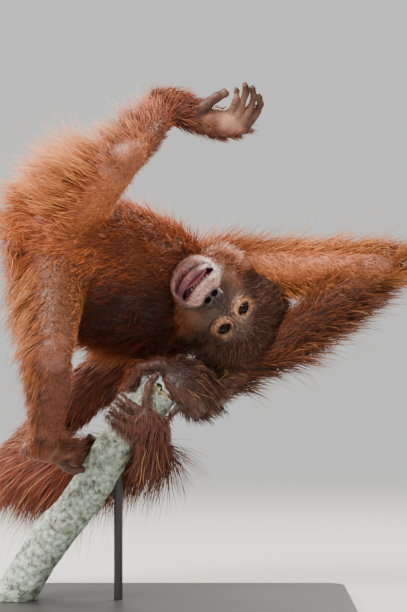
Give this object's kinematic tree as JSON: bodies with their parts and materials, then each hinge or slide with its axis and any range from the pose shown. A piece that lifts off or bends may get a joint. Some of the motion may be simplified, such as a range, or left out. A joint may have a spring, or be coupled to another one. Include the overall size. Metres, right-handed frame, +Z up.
{
  "type": "orangutan, young, life-size museum model clinging to a broken branch",
  "caption": "Life-size young orangutan with a long rusty coat, head down and face to the front, clinging to a broken branch on a plain display stand.",
  "frame": {"origin": "on the underside of the stand base, by the broken branch, at floor height", "axes": "+Z up, +X to the right as seen from the front, +Y away from the side that the face looks to"},
  "size_m": [0.6633, 0.4245, 0.7142],
  "materials": {
    "coat": "long hair, rusty orange",
    "coat_dark": "long hair, dark red-brown",
    "head_skin": "bare wrinkled skin with short hair",
    "bare_skin": "bare ridged skin of palms, soles and ears",
    "eye": "glossy dark brown",
    "bark": "pale grey bark with lichen, broken wood at the end",
    "stand": "matt black"
  },
  "bodies": {
    "root": {"head": "head_skin", "eye_right": "eye", "eye_left": "eye", "ear_right": "bare_skin", "ear_left": "bare_skin", "chest": "coat", "belly": "coat", "neck": "coat", "right_upper_arm": "coat", "left_upper_arm": "coat", "right_thigh": "coat", "left_thigh": "coat", "right_forearm": "coat_dark", "left_forearm": "coat_dark", "right_shank": "coat", "left_shank": "coat", "left_hand": "bare_skin", "right_hand": "bare_skin", "right_foot": "bare_skin", "left_foot": "bare_skin", "perch_branch": "bark", "stand_base": "stand", "stand_rod": "stand"}
  },
  "joints": []
}
